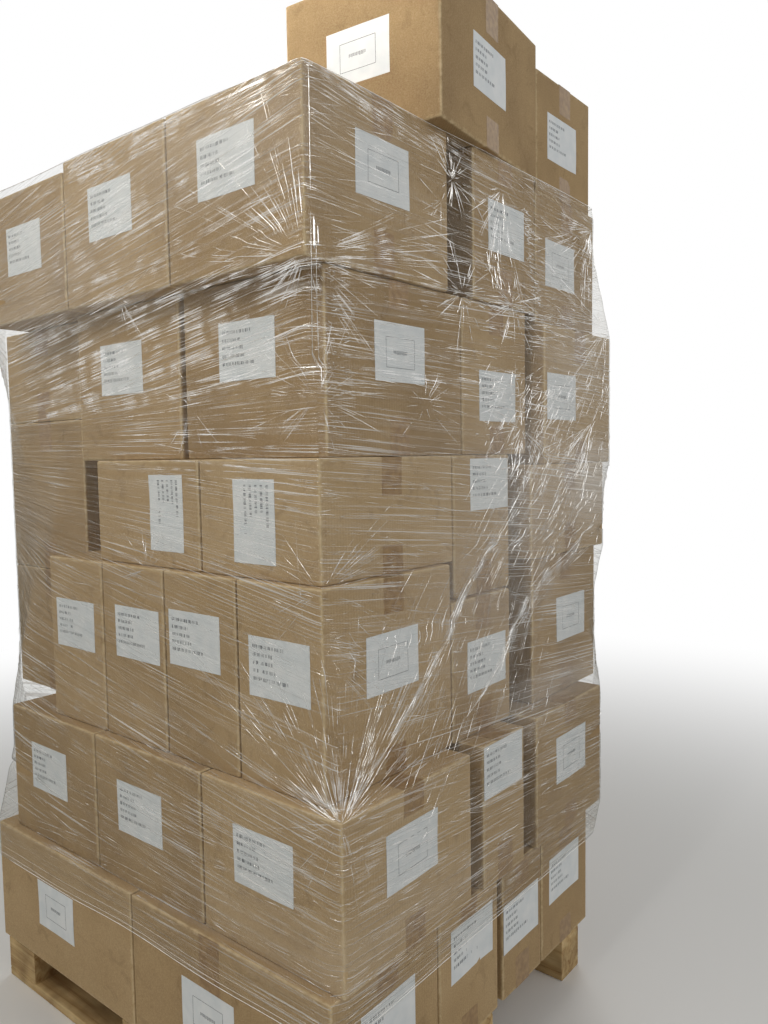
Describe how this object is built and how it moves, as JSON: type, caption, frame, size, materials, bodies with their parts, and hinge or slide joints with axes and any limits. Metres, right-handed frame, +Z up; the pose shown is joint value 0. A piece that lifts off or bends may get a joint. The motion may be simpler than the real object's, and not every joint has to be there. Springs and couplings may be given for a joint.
{
  "type": "shrink wrapped pallet load",
  "caption": "Wooden pallet stacked with tiers of plain brown cartons, wound in clear stretch film.",
  "frame": {"origin": "middle of the pallet's underside", "axes": "+X towards the load's right side, -Y towards its front, +Z up from the floor"},
  "size_m": [1.239, 1.15, 2.2],
  "materials": {
    "pallet_wood": "raw sawn softwood",
    "carton_board": "matt brown kraft board",
    "label_paper": "matt white paper",
    "clear_film": "clear glossy stretch film"
  },
  "bodies": {
    "root": {"deck_boards": "pallet_wood", "stringer_boards": "pallet_wood", "pallet_blocks": "pallet_wood", "bottom_boards": "pallet_wood", "tier_1_cartons": "carton_board", "tier_2_cartons": "carton_board", "tier_3_cartons": "carton_board", "tier_4_cartons": "carton_board", "tier_5_cartons": "carton_board", "tier_6_cartons": "carton_board", "top_cartons": "carton_board", "carton_labels": "label_paper", "stretch_film": "clear_film"}
  },
  "joints": []
}
